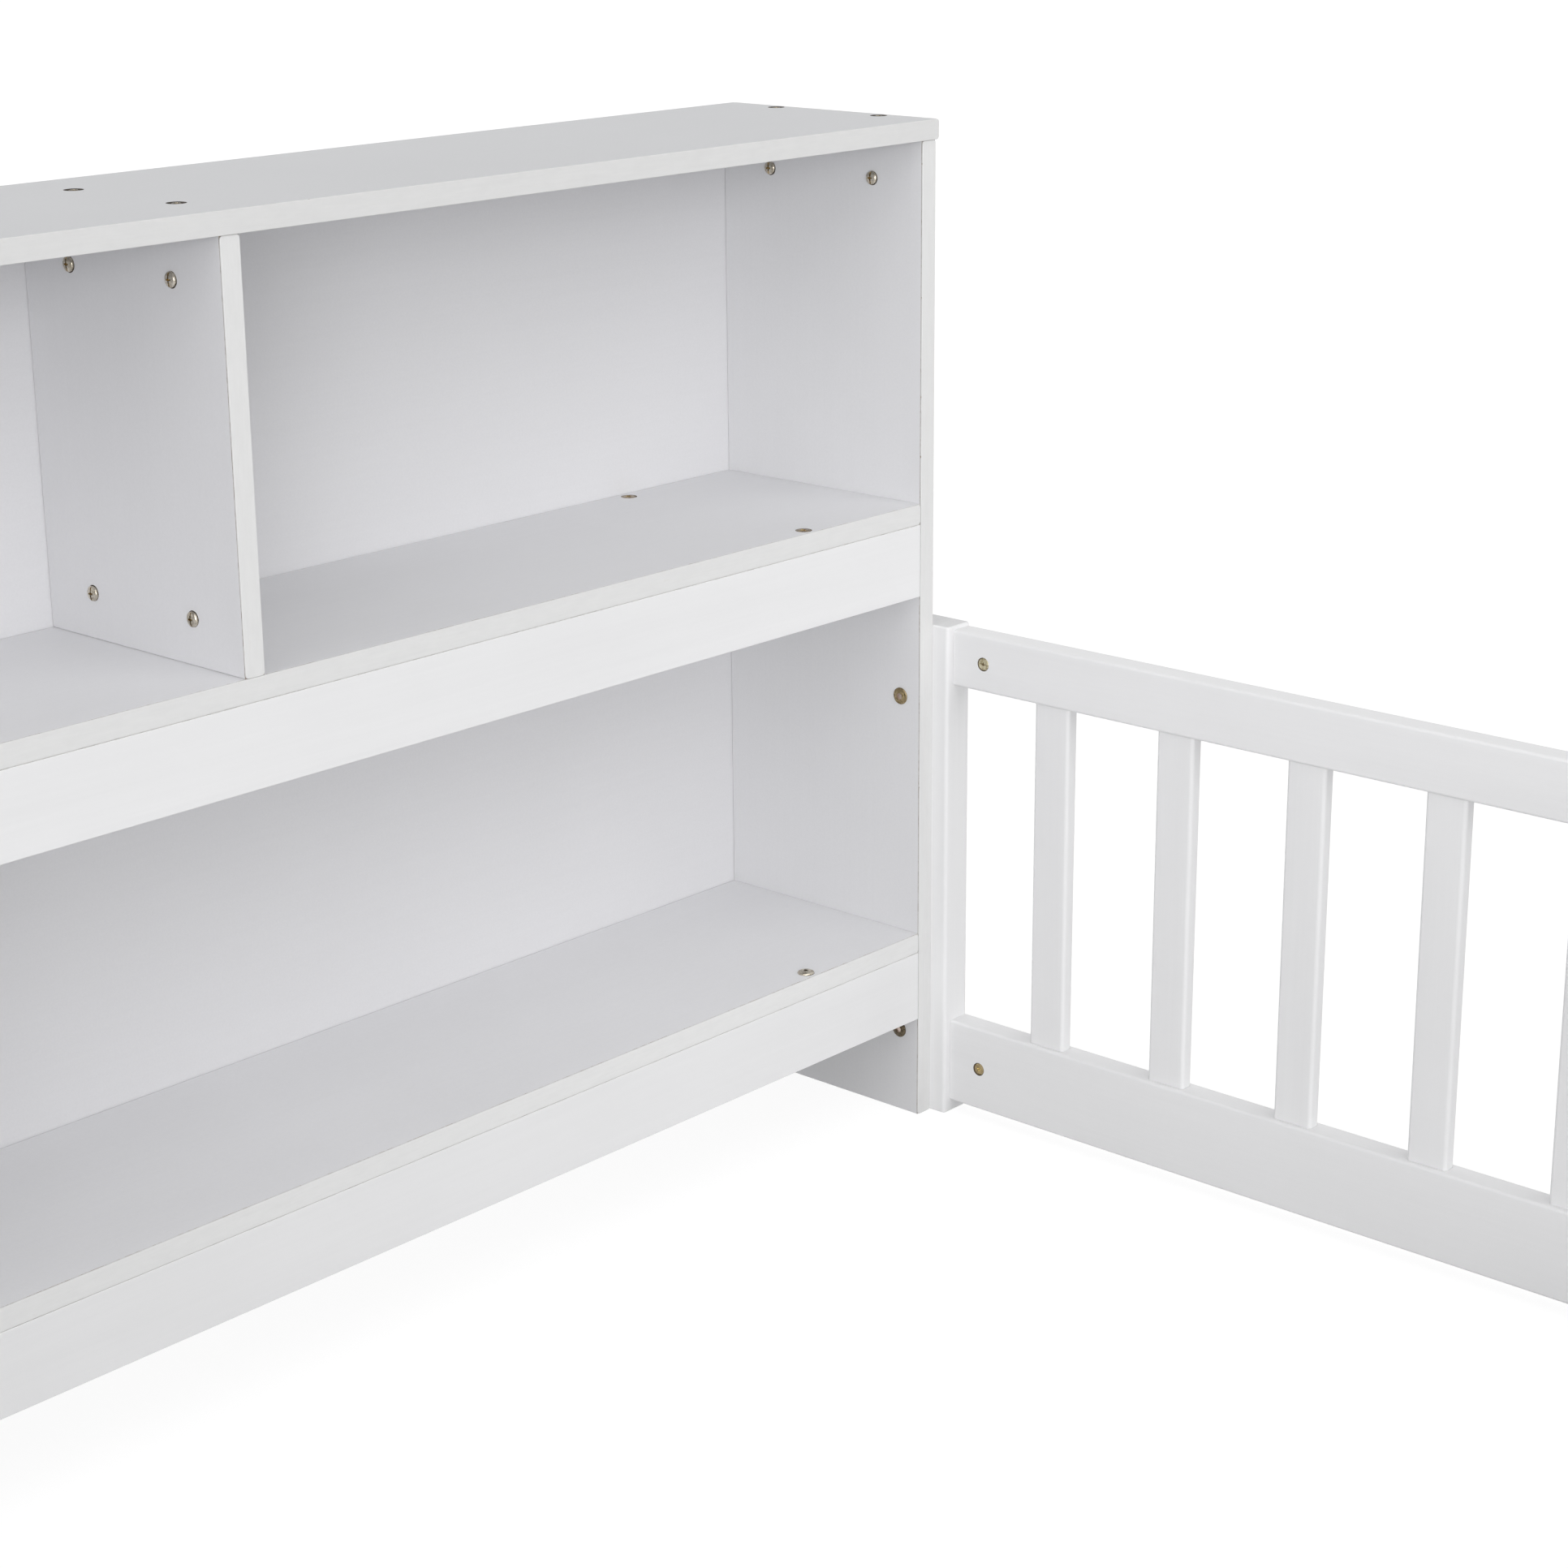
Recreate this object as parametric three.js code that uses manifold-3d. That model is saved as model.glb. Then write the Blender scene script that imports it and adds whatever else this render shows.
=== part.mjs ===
// A low floor bed with a bookcase along one long side and slatted guard panels on the other three.
// Millimetres, +Z up. X runs along the bookcase, +Y points to the bookcase's back, and the origin is
// on the floor under the middle of the whole bed. The mattress lies on the floor inside the frame.

import * as THREE from 'three';
import { mergeVertices } from 'three/addons/utils/BufferGeometryUtils.js';
import Module from 'manifold-3d';

const wasm = await Module();
wasm.setup();

// Bookcase boards
const CASE_LENGTH = 1995; // over the outer faces of the two side panels
const CASE_DEPTH = 208;
const CASE_HEIGHT = 800; // floor to the upper face of the top board
const BOARD = 15;
const TOP_END_OVERHANG = 2.5;
const TOP_FRONT_OVERHANG = 1;
const UPPER_BAYS = 3;
const MIDDLE_SHELF_TOP = 509;
const LOWER_SHELF_TOP = 157;
const BACK_PANEL = 5;
const BACK_PANEL_INSET = 0.5; // from the side panel's back edge to the back panel's rear face
const BACK_PANEL_SEAM = 1; // between the upper and the lower back panel, behind the middle shelf
const RABBET_DEPTH = 8; // how far the rabbet for the back panels goes into a side panel

// Battens and foot under the shelves
const BATTEN_HEIGHT = 57;
const BATTEN_THICK = 20;
const BATTEN_DROP = 1.2; // shadow gap between a shelf and the batten under it

// Posts
const POST_HEIGHT = 410;
const POST_THICK = 28;
const REAR_POST_WIDTH = 55;
const REAR_POST_PROUD = 15; // in front of the side panel's front edge
const CORNER_POST_WIDTH = 60;
const GATE_POST_WIDTH = 45;
const POST_ROUNDING = 3;
const POST_END_ROUNDING = 1.5;

// Guard panels
const RAIL_THICK = 21;
const RAIL_ROUNDING = 2.5;
const TOP_RAIL_HEIGHT = 45;
const BOTTOM_RAIL_HEIGHT = 70;
const RAIL_DROP = 3; // from a post's top to the top rail
const RAIL_FLOOR_GAP = 10;
const SLAT_WIDTH = 33;
const SLAT_THICK = 12;
const SLAT_ROUNDING = 3;
const SLAT_PITCH = 115.5;
const SLAT_LET_IN = 9; // how far a slat's end goes into its rail
const END_SLATS = 8;
const FRONT_SLATS = 4; // in each of the two front panels, beside the way in
const FIRST_SLAT_GAP = 77.5; // from a post to the nearest slat

// Fastener holes, and the four bolts that hold the rear posts
const BOLT_RADIUS = 3;
const BOLT_PAST_NUT = 3.5;
const SUNK_HEAD_RADIUS = 6.4;
const SUNK_HEAD_DEPTH = 3;
const NUT_RADIUS = 5;
const NUT_BORE_DEPTH = 12.5;
const NUT_TO_EDGE = 31; // from a board's edge to the axis of the nut in it
const RAIL_NUT_TO_POST = 30;
const RAIL_NUT_BORE_DEPTH = 17;
const BOARD_BOLT_FRONT = 50; // from the case's front edge
const BOARD_BOLT_REAR = 154;
const CROSS_BOLT_DROP = 12; // keeps the front rails' bolts under the end rails' ones in a corner post
const POST_BOLT_SETBACK = 20; // from the case's front edge
const POST_BOLT_LOW = 70;
const POST_BOLT_DROP = 58; // from a post's top to the upper one
const POST_BOLT_REACH = 18; // into the post
const POST_BOLT_HEAD = 6.7;
const POST_BOLT_HEAD_THICK = 2.4;
const SOCKET_RADIUS = 2.3;
const SOCKET_DEPTH = 1.8;
const SCREW_RADIUS = 2.5;
const SCREW_HEAD_RADIUS = 6.2;
const SCREW_HEAD_DEPTH = 3;
const SCREW_PILOT_DEPTH = 22;
const SCREW_FROM_SIDE = 125; // from a side panel's inner face

// Clearances and facets
const FIT = 0.3;
const ROUND_SIDES = 10; // round shapes that show
const HOLE_SIDES = 8;
const SOCKET_SIDES = 6;
const CORNER_STEPS = 2;
const PAST = 2; // how far a cutting tool starts outside the face that it enters

// Places worked out from the sizes above
const sideHeight = CASE_HEIGHT - BOARD;
const endPanelLength = panelLength(END_SLATS);
const frontPanelLength = panelLength(FRONT_SLATS);
const bedDepth = CASE_DEPTH + REAR_POST_PROUD + endPanelLength + POST_THICK;
const yBack = bedDepth / 2;
const yCase = yBack - CASE_DEPTH;
const yFront = -bedDepth / 2;
const yBackPanel = yBack - BACK_PANEL_INSET - BACK_PANEL;
const yRearPost = yCase - REAR_POST_PROUD;
const yCornerPost = yFront + POST_THICK;
const yFrontRail = yFront + RAIL_THICK / 2;
const xSide = CASE_LENGTH / 2;
const xInner = xSide - BOARD;
const xOuter = xSide + POST_THICK;
const xEndRail = xOuter - RAIL_THICK / 2;
const xCornerPost = xOuter - CORNER_POST_WIDTH;
const xGatePost = xCornerPost - frontPanelLength;
const bayWidth = (CASE_LENGTH - (UPPER_BAYS + 1) * BOARD) / UPPER_BAYS;
const railTop = POST_HEIGHT - RAIL_DROP;
const topRail = { low: railTop - TOP_RAIL_HEIGHT, high: railTop };
const bottomRail = { low: RAIL_FLOOR_GAP, high: RAIL_FLOOR_GAP + BOTTOM_RAIL_HEIGHT };

// Directions
const UP = new THREE.Vector3(0, 0, 1);
const DOWN = new THREE.Vector3(0, 0, -1);
const RIGHT = new THREE.Vector3(1, 0, 0);
const LEFT = new THREE.Vector3(-1, 0, 0);
const BACKWARDS = new THREE.Vector3(0, 1, 0);
const FORWARDS = new THREE.Vector3(0, -1, 0);
const SIDES = [
  { name: 'right', sign: 1, out: RIGHT, inwards: LEFT },
  { name: 'left', sign: -1, out: LEFT, inwards: RIGHT },
];

// Materials
const boardWhite = new THREE.MeshStandardMaterial({ color: 0xe8e8ec, roughness: 0.5, metalness: 0 });
const timberWhite = new THREE.MeshStandardMaterial({ color: 0xeaeaec, roughness: 0.45, metalness: 0 });
const backWhite = new THREE.MeshStandardMaterial({ color: 0xdcdce2, roughness: 0.6, metalness: 0 });
const zinc = new THREE.MeshStandardMaterial({ color: 0xb39a6a, roughness: 0.35, metalness: 1 });

// Shapes

function panelLength(slats) {
  return 2 * FIRST_SLAT_GAP + (slats - 1) * SLAT_PITCH + SLAT_WIDTH;
}

function point(x, y, z) {
  return new THREE.Vector3(x, y, z);
}

// A block between [low, high] along X, Y and Z.
function block([x0, x1], [y0, y1], [z0, z1]) {
  const geometry = new THREE.BoxGeometry(x1 - x0, y1 - y0, z1 - z0);
  return geometry.translate((x0 + x1) / 2, (y0 + y1) / 2, (z0 + z1) / 2);
}

// Turns a shape that points along +Z to another direction, and moves its origin to a place. The
// shape's Y turns to +Z where the direction is level.
function aimed(geometry, place, direction) {
  const turn = new THREE.Quaternion();
  if (direction.z === 0) {
    const across = new THREE.Vector3().crossVectors(UP, direction);
    turn.setFromRotationMatrix(new THREE.Matrix4().makeBasis(across, UP, direction));
  } else if (direction.z < 0) {
    turn.setFromAxisAngle(RIGHT, Math.PI);
  }
  return geometry.applyQuaternion(turn).translate(place.x, place.y, place.z);
}

function roundedOutline(width, height, radius) {
  const x = width / 2 - radius;
  const y = height / 2 - radius;
  const quarter = Math.PI / 2;
  const shape = new THREE.Shape();
  shape.absarc(x, y, radius, 0, quarter);
  shape.absarc(-x, y, radius, quarter, 2 * quarter);
  shape.absarc(-x, -y, radius, 2 * quarter, 3 * quarter);
  shape.absarc(x, -y, radius, 3 * quarter, 4 * quarter);
  return shape;
}

// A bar with rounded long edges, centred on the line from start along direction. Where the ends are
// eased too, endRounding is less than radius.
function bar(start, direction, length, width, height, radius, endRounding = 0) {
  const inset = 2 * endRounding;
  const outline = roundedOutline(width - inset, height - inset, radius - endRounding);
  const geometry = new THREE.ExtrudeGeometry(outline, {
    depth: length - inset,
    curveSegments: CORNER_STEPS,
    bevelEnabled: endRounding > 0,
    bevelSegments: 1,
    bevelSize: endRounding,
    bevelThickness: endRounding,
  });
  return aimed(geometry.translate(0, 0, endRounding), start, direction);
}

function slatBar(start, direction, length, facingX, growth = 0) {
  const width = SLAT_WIDTH + 2 * growth;
  const thick = SLAT_THICK + 2 * growth;
  const [alongX, alongY] = facingX ? [thick, width] : [width, thick];
  return bar(start, direction, length, alongX, alongY, SLAT_ROUNDING + growth);
}

// A cone or cylinder that starts at a place and runs along a direction.
function turned(place, direction, startRadius, endRadius, length, sides) {
  const geometry = new THREE.CylinderGeometry(endRadius, startRadius, length, sides);
  geometry.rotateX(Math.PI / 2).translate(0, 0, length / 2);
  return aimed(geometry, place, direction);
}

// Solids and cuts

function solid(geometry) {
  const bare = geometry.clone();
  bare.deleteAttribute('normal');
  bare.deleteAttribute('uv');
  const merged = mergeVertices(bare, 1e-4);
  const vertProperties = merged.attributes.position.array;
  const triVerts = new Uint32Array(merged.index.array);
  return new wasm.Manifold(new wasm.Mesh({ numProp: 3, vertProperties, triVerts }));
}

function cut(geometry, tools) {
  const carved = tools.reduce((body, tool) => body.subtract(solid(tool)), solid(geometry));
  const mesh = carved.getMesh();
  const result = new THREE.BufferGeometry();
  result.setAttribute('position', new THREE.BufferAttribute(mesh.vertProperties, 3));
  result.setIndex(new THREE.BufferAttribute(mesh.triVerts, 1));
  return result;
}

// The pieces, each with the cuts that its joints ask for
const pieces = new Map();

function piece(name, geometry, material) {
  pieces.set(name, { geometry, material, tools: [] });
}

function carve(name, tool) {
  pieces.get(name).tools.push(tool);
}

// Joints

// A round hole entered at a place on a face, going along a direction.
function drill(name, place, direction, radius, depth, sides = HOLE_SIDES) {
  const entry = place.clone().addScaledVector(direction, -PAST);
  carve(name, turned(entry, direction, radius, radius, depth + PAST, sides));
}

// A conical recess for a head that ends up level with the face.
function countersink(name, place, direction, radius, depth, shank) {
  const slope = (radius - shank) / depth;
  const entry = place.clone().addScaledVector(direction, -PAST);
  carve(name, turned(entry, direction, radius + PAST * slope, shank, depth + PAST, ROUND_SIDES));
}

// A sunk bolt through one board into another board's edge, where it meets a barrel nut. face is on
// the first board's outer side, and nutDirection is the way the nut is pushed in.
function boardBolt(through, into, face, direction, nutDirection) {
  const edge = face.clone().addScaledVector(direction, BOARD);
  const nut = edge.clone().addScaledVector(direction, NUT_TO_EDGE);
  const mouth = nut.clone().addScaledVector(nutDirection, -BOARD / 2);
  countersink(through, face, direction, SUNK_HEAD_RADIUS, SUNK_HEAD_DEPTH, BOLT_RADIUS);
  drill(through, face, direction, BOLT_RADIUS + FIT, BOARD + PAST);
  drill(into, edge, direction, BOLT_RADIUS + FIT, NUT_TO_EDGE + BOLT_PAST_NUT);
  drill(into, mouth, nutDirection, NUT_RADIUS + FIT, NUT_BORE_DEPTH, ROUND_SIDES);
}

// A bolt through a post into a rail's end, where it meets a barrel nut pushed in from inside the bed.
function railBolt(post, rail, postFace, direction, postWidth, nutDirection) {
  const end = postFace.clone().addScaledVector(direction, postWidth);
  const nut = end.clone().addScaledVector(direction, RAIL_NUT_TO_POST);
  const mouth = nut.clone().addScaledVector(nutDirection, -RAIL_THICK / 2);
  drill(post, postFace, direction, BOLT_RADIUS + FIT, postWidth + PAST);
  drill(rail, end, direction, BOLT_RADIUS + FIT, RAIL_NUT_TO_POST + BOLT_PAST_NUT);
  drill(rail, mouth, nutDirection, NUT_RADIUS + FIT, RAIL_NUT_BORE_DEPTH, ROUND_SIDES);
}

// A sunk screw down through a shelf into the top of the piece under it.
function shelfScrew(shelf, under, place, gap) {
  const shank = SCREW_RADIUS + FIT;
  const lower = place.clone().addScaledVector(DOWN, BOARD + gap);
  countersink(shelf, place, DOWN, SCREW_HEAD_RADIUS, SCREW_HEAD_DEPTH, SCREW_RADIUS);
  drill(shelf, place, DOWN, shank, BOARD + PAST);
  drill(under, lower, DOWN, SCREW_RADIUS, SCREW_PILOT_DEPTH);
}

// A wide-headed socket bolt from inside the bookcase through a side panel into a rear post.
function postBolt(name, panel, post, place, direction) {
  const length = BOARD + POST_BOLT_REACH;
  const head = place.clone().addScaledVector(direction, -POST_BOLT_HEAD_THICK);
  const profile = [
    new THREE.Vector2(0, 0),
    new THREE.Vector2(POST_BOLT_HEAD, 0),
    new THREE.Vector2(POST_BOLT_HEAD, POST_BOLT_HEAD_THICK),
    new THREE.Vector2(BOLT_RADIUS, POST_BOLT_HEAD_THICK),
    new THREE.Vector2(BOLT_RADIUS, POST_BOLT_HEAD_THICK + length),
    new THREE.Vector2(0, POST_BOLT_HEAD_THICK + length),
  ];
  const blank = new THREE.LatheGeometry(profile, ROUND_SIDES).rotateX(Math.PI / 2);
  const postFace = place.clone().addScaledVector(direction, BOARD);
  piece(name, aimed(blank, head, direction), zinc);
  drill(name, head, direction, SOCKET_RADIUS, SOCKET_DEPTH, SOCKET_SIDES);
  drill(panel, place, direction, BOLT_RADIUS + FIT, BOARD + PAST);
  drill(post, postFace, direction, BOLT_RADIUS + FIT, POST_BOLT_REACH + FIT);
}

// Bookcase

function shelf(name, top) {
  piece(name, block([-xInner, xInner], [yCase, yBackPanel], [top - BOARD, top]), boardWhite);
}

// The rows that aren't screwed to the shelf are held by the back panel.
function battens(name, shelfName, shelfTop, screwedRows) {
  const high = shelfTop - BOARD - BATTEN_DROP;
  const rows = { front: yCase, rear: yBackPanel - BATTEN_THICK };
  for (const [row, y] of Object.entries(rows)) {
    const batten = `${name}_${row}_batten`;
    const stick = block([-xInner, xInner], [y, y + BATTEN_THICK], [high - BATTEN_HEIGHT, high]);
    piece(batten, stick, timberWhite);
    if (!screwedRows.includes(row)) continue;
    for (const x of [-xInner + SCREW_FROM_SIDE, xInner - SCREW_FROM_SIDE]) {
      shelfScrew(shelfName, batten, point(x, y + BATTEN_THICK / 2, shelfTop), BATTEN_DROP);
    }
  }
}

function upright(name, x, low, high) {
  piece(name, block([x - BOARD / 2, x + BOARD / 2], [yCase, yBackPanel], [low, high]), boardWhite);
}

const boltRows = [yCase + BOARD_BOLT_FRONT, yCase + BOARD_BOLT_REAR];
const middleShelfUnderside = MIDDLE_SHELF_TOP - BOARD;
const lowerShelfUnderside = LOWER_SHELF_TOP - BOARD;
const xTop = xSide + TOP_END_OVERHANG;

const topDepth = [yCase - TOP_FRONT_OVERHANG, yBack];
piece('top_board', block([-xTop, xTop], topDepth, [sideHeight, CASE_HEIGHT]), boardWhite);
shelf('middle_shelf', MIDDLE_SHELF_TOP);
shelf('lower_shelf', LOWER_SHELF_TOP);
battens('middle', 'middle_shelf', MIDDLE_SHELF_TOP, ['front', 'rear']);
battens('lower', 'lower_shelf', LOWER_SHELF_TOP, ['front']);

for (const { name, sign, out, inwards } of SIDES) {
  const side = `side_panel_${name}`;
  const xs = [sign * xInner, sign * xSide].sort((a, b) => a - b);
  const rabbet = [sign * (xInner - PAST), sign * (xInner + RABBET_DEPTH)].sort((a, b) => a - b);
  piece(side, block(xs, [yCase, yBack], [0, sideHeight]), boardWhite);
  carve(side, block(rabbet, [yBackPanel, yBack + PAST], [-PAST, sideHeight + PAST]));
  for (const y of boltRows) {
    boardBolt('top_board', side, point(sign * (xSide - BOARD / 2), y, CASE_HEIGHT), DOWN, out);
    boardBolt(side, 'middle_shelf', point(sign * xSide, y, MIDDLE_SHELF_TOP - BOARD / 2), inwards, UP);
    boardBolt(side, 'lower_shelf', point(sign * xSide, y, LOWER_SHELF_TOP - BOARD / 2), inwards, UP);
  }
}

// The upper bays are all alike, and the row under them has one upright in the middle.
for (let i = 1; i < UPPER_BAYS; i += 1) {
  const divider = `upper_divider_${i}`;
  const x = -xInner + i * (bayWidth + BOARD) - BOARD / 2;
  upright(divider, x, MIDDLE_SHELF_TOP, sideHeight);
  for (const y of boltRows) {
    boardBolt('top_board', divider, point(x, y, CASE_HEIGHT), DOWN, RIGHT);
    boardBolt('middle_shelf', divider, point(x, y, middleShelfUnderside), UP, RIGHT);
  }
}

// The battens pass through notches in the lower upright, and the foot stands between them.
const betweenBattens = [yCase + BATTEN_THICK + FIT, yBackPanel - BATTEN_THICK - FIT];
const notchHeights = [middleShelfUnderside - BATTEN_DROP - BATTEN_HEIGHT - FIT, middleShelfUnderside + PAST];
upright('lower_divider', 0, LOWER_SHELF_TOP, middleShelfUnderside);
carve('lower_divider', block([-BOARD, BOARD], [yCase - PAST, betweenBattens[0]], notchHeights));
carve('lower_divider', block([-BOARD, BOARD], [betweenBattens[1], yBackPanel + PAST], notchHeights));
piece('centre_foot', block([-BOARD / 2, BOARD / 2], betweenBattens, [0, lowerShelfUnderside]), boardWhite);
for (const y of boltRows) {
  boardBolt('middle_shelf', 'lower_divider', point(0, y, MIDDLE_SHELF_TOP), DOWN, RIGHT);
  shelfScrew('lower_shelf', 'centre_foot', point(0, y, LOWER_SHELF_TOP), 0);
}

// Back panels lie in the side panels' rabbets and over the back edges of everything between them.
function backPanel(name, low, high) {
  const reach = xInner + RABBET_DEPTH - FIT;
  const panel = block([-reach, reach], [yBackPanel, yBackPanel + BACK_PANEL], [low, high]);
  piece(name, panel, backWhite);
}

const seam = MIDDLE_SHELF_TOP - BOARD / 2;
const backPanelFoot = lowerShelfUnderside - BATTEN_DROP - BATTEN_HEIGHT;
backPanel('back_panel_upper', seam + BACK_PANEL_SEAM / 2, sideHeight);
backPanel('back_panel_lower', backPanelFoot, seam - BACK_PANEL_SEAM / 2);

// Posts

function post(name, [x0, x1], [y0, y1]) {
  const foot = point((x0 + x1) / 2, (y0 + y1) / 2, 0);
  const stick = bar(foot, UP, POST_HEIGHT, x1 - x0, y1 - y0, POST_ROUNDING, POST_END_ROUNDING);
  piece(name, stick, timberWhite);
}

for (const { name, sign, out } of SIDES) {
  const across = (a, b) => [sign * a, sign * b].sort((p, q) => p - q);
  const rearPost = `rear_post_${name}`;
  post(rearPost, across(xSide, xOuter), [yRearPost, yRearPost + REAR_POST_WIDTH]);
  post(`corner_post_${name}`, across(xCornerPost, xOuter), [yFront, yCornerPost]);
  post(`gate_post_${name}`, across(xGatePost - GATE_POST_WIDTH, xGatePost), [yFront, yCornerPost]);
  for (const [row, z] of [['low', POST_BOLT_LOW], ['high', POST_HEIGHT - POST_BOLT_DROP]]) {
    const place = point(sign * xInner, yCase + POST_BOLT_SETBACK, z);
    postBolt(`post_bolt_${name}_${row}`, `side_panel_${name}`, rearPost, place, out);
  }
}

// Guard panels: two rails with the slats let into them. start is on the panel's middle plane at one
// post's face, and the panel runs along direction to the next post.

function guardPanel(name, start, direction, slats) {
  const facingX = direction.x === 0;
  const length = panelLength(slats);
  for (const [row, rail] of [['top', topRail], ['bottom', bottomRail]]) {
    const height = rail.high - rail.low;
    const end = point(start.x, start.y, (rail.low + rail.high) / 2);
    const stick = bar(end, direction, length, RAIL_THICK, height, RAIL_ROUNDING);
    piece(`${name}_${row}_rail`, stick, timberWhite);
  }
  for (let i = 0; i < slats; i += 1) {
    const along = FIRST_SLAT_GAP + SLAT_WIDTH / 2 + i * SLAT_PITCH;
    const middle = start.clone().addScaledVector(direction, along);
    const low = point(middle.x, middle.y, bottomRail.high);
    const high = point(middle.x, middle.y, topRail.low);
    const foot = low.clone().addScaledVector(DOWN, SLAT_LET_IN);
    const slatLength = high.z - low.z + 2 * SLAT_LET_IN;
    piece(`${name}_slat_${i + 1}`, slatBar(foot, UP, slatLength, facingX), timberWhite);
    const mortise = SLAT_LET_IN + FIT + PAST;
    carve(`${name}_top_rail`, slatBar(high.addScaledVector(DOWN, PAST), UP, mortise, facingX, FIT));
    carve(`${name}_bottom_rail`, slatBar(low.addScaledVector(UP, PAST), DOWN, mortise, facingX, FIT));
  }
}

for (const { name, sign, out, inwards } of SIDES) {
  const rearPost = `rear_post_${name}`;
  const cornerPost = `corner_post_${name}`;
  const gatePost = `gate_post_${name}`;
  guardPanel(`${name}_guard`, point(sign * xEndRail, yRearPost, 0), FORWARDS, END_SLATS);
  guardPanel(`front_${name}_guard`, point(sign * xCornerPost, yFrontRail, 0), inwards, FRONT_SLATS);
  for (const [row, rail] of [['top', topRail], ['bottom', bottomRail]]) {
    const endRail = `${name}_guard_${row}_rail`;
    const frontRail = `front_${name}_guard_${row}_rail`;
    const z = (rail.low + rail.high) / 2;
    const behind = point(sign * xEndRail, yRearPost + REAR_POST_WIDTH, z);
    const before = point(sign * xEndRail, yFront, z);
    const outside = point(sign * xOuter, yFrontRail, z - CROSS_BOLT_DROP);
    const inGap = point(sign * (xGatePost - GATE_POST_WIDTH), yFrontRail, z - CROSS_BOLT_DROP);
    railBolt(rearPost, endRail, behind, FORWARDS, REAR_POST_WIDTH, out);
    railBolt(cornerPost, endRail, before, BACKWARDS, POST_THICK, out);
    railBolt(cornerPost, frontRail, outside, inwards, CORNER_POST_WIDTH, FORWARDS);
    railBolt(gatePost, frontRail, inGap, out, GATE_POST_WIDTH, FORWARDS);
  }
}

// The whole bed
const bed = new THREE.Group();
bed.name = 'floor_bed';
for (const [name, { geometry, material, tools }] of pieces) {
  const mesh = new THREE.Mesh(tools.length ? cut(geometry, tools) : geometry, material);
  mesh.name = name;
  bed.add(mesh);
}

export default bed;
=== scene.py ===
import math
import random

import bmesh
import bpy
from mathutils import Matrix, Vector


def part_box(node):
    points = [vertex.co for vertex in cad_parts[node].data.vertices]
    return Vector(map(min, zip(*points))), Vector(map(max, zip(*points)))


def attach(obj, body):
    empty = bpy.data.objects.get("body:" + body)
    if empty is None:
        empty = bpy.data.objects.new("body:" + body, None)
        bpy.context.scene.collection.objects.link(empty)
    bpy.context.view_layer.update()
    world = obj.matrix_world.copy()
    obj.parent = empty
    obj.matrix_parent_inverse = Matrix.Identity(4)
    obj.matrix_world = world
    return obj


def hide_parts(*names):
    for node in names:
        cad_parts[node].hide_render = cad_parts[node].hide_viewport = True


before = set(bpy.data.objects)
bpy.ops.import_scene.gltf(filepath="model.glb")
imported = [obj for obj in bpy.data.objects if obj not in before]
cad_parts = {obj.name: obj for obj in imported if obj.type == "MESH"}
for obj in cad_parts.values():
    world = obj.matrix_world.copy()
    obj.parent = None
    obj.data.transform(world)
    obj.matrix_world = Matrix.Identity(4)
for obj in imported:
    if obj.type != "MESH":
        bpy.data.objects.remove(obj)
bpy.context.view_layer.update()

# A low white floor bed, seen from inside it towards the right end of the bookcase on its long side.
# +X runs along the bookcase, +Y points to its back, and every length is in metres.
MM = 0.001
OUTPUT_SIDE = 1932  # pixels

# Places that the CAD model gives
side_low, side_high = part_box("side_panel_right")
x_inner, x_side = side_low.x, side_high.x
case_front, case_back = side_low.y, side_high.y
top_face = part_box("top_board")[1].z
side_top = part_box("top_board")[0].z
shelf_top = {name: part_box(name)[1].z for name in ("middle_shelf", "lower_shelf")}
BOARD = top_face - side_top
divider_x = (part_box("upper_divider_2")[0].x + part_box("upper_divider_2")[1].x) / 2
panel_low, panel_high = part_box("back_panel_upper")

# Places of the fasteners, as in the CAD model's holes
BOLT_ROWS = (case_front + 50 * MM, case_front + 154 * MM)
NUT_TO_EDGE = 31 * MM
RAIL_NUT_TO_POST = 30 * MM
CROSS_BOLT_DROP = 12 * MM
SCREW_X = x_inner - 125 * MM
SCREW_PLAY = Vector((-0.25, 0.25, 0)) * MM  # how far the shelf screws sit off their holes' middles
NUT_PLAY = 0.2 * MM  # how far a nut is drawn towards its bolt's head

# Places of the small screws in the back panels, seen only from behind
BACK_SCREW_X = panel_high.x - 4 * MM
UPPER_SCREW_ROWS = (0.535, 0.615, 0.695, 0.768)
LOWER_SCREW_ROWS = (0.112, 0.24, 0.355, 0.465)
LOWER_SCREW_COLUMNS = (-0.8, -0.6, -0.4, -0.2, 0.2, 0.4, 0.6, 0.8)  # in the lowest and the highest row

# How far the heads' recesses are turned, in radians
BOARD_BOLT_TURN = 0.4
RAIL_BOLT_TURN = 0.3
RAIL_NUT_TURN = math.radians(80)
POST_BOLT_TURN = 0.35
FOOT_SCREW_TURN = 0.7
SHELF_SCREW_TURN = 0.5
BACK_SCREW_TURN = 3  # for each metre along the case

# Small chips on the boards' front edges
SIDE_CHIPS = ((0.768, 0.5), (0.668, 0.45), (0.592, 0.6), (0.546, 0.7), (0.28, 0.5))  # height, and size in mm
DIVIDER_CHIP = 0.9 * MM
DIVIDER_CHIP_INSET = 0.4 * MM
TOP_CHIP = 0.8 * MM
TOP_CHIP_X = 0.392
CHIP_SPREAD = (0.75, 1.15)  # how uneven a chip's outline is
CHIP_STRETCH = 1.6  # how much taller than wide it is

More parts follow.
